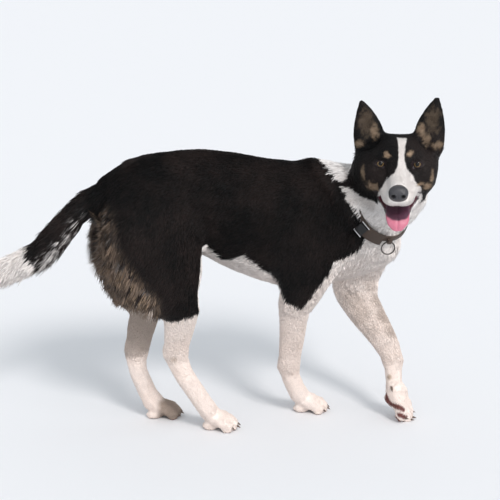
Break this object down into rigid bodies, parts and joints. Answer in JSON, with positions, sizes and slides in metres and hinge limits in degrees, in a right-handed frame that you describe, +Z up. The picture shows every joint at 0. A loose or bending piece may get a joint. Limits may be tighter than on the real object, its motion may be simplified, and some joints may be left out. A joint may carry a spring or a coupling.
{
  "type": "dog",
  "caption": "Life-size still model of a young short-coated black, white and tan dog, walking and looking back to its right, mouth open, wearing a collar.",
  "frame": {"origin": "on the floor under the middle of the whole dog's box", "axes": "+X the way the trunk heads, +Y the dog's left, +Z up"},
  "size_m": [0.901, 0.339, 0.6392],
  "materials": {
    "coat_black": "short glossy black hair",
    "coat_white": "short white hair",
    "eye": "wet amber brown",
    "nose": "moist dark grey leather",
    "tongue": "moist pink",
    "claw": "dark horn",
    "strap": "worn dark brown",
    "buckle": "satin black",
    "metal": "polished wire"
  },
  "bodies": {
    "root": {"ear_left": "coat_black", "ear_right": "coat_black", "thigh_right": "coat_black", "thigh_left": "coat_black", "shoulder_right": "coat_black", "head": "coat_black", "trunk": "coat_black", "tail": "coat_black", "neck": "coat_white", "jaw": "coat_white", "shoulder_left": "coat_white", "shank_right": "coat_white", "shank_left": "coat_white", "forearm_right": "coat_white", "forearm_left": "coat_white", "hind_foot_right": "coat_white", "hind_foot_left": "coat_white", "fore_foot_right": "coat_white", "fore_foot_left": "coat_white", "eye_left": "eye", "eye_right": "eye", "nose": "nose", "tongue": "tongue", "claw_hind_right_1": "claw", "claw_hind_right_2": "claw", "claw_hind_right_3": "claw", "claw_hind_right_4": "claw", "claw_hind_left_1": "claw", "claw_hind_left_2": "claw", "claw_hind_left_3": "claw", "claw_hind_left_4": "claw", "claw_fore_right_1": "claw", "claw_fore_right_2": "claw", "claw_fore_right_3": "claw", "claw_fore_right_4": "claw", "claw_fore_left_1": "claw", "claw_fore_left_2": "claw", "claw_fore_left_3": "claw", "claw_fore_left_4": "claw", "dewclaw_fore_right": "claw", "dewclaw_fore_left": "claw", "collar_strap": "strap", "collar_keeper": "strap", "collar_buckle": "buckle", "collar_bar_front": "metal", "collar_bar_back": "metal", "collar_ring": "metal"}
  },
  "joints": []
}
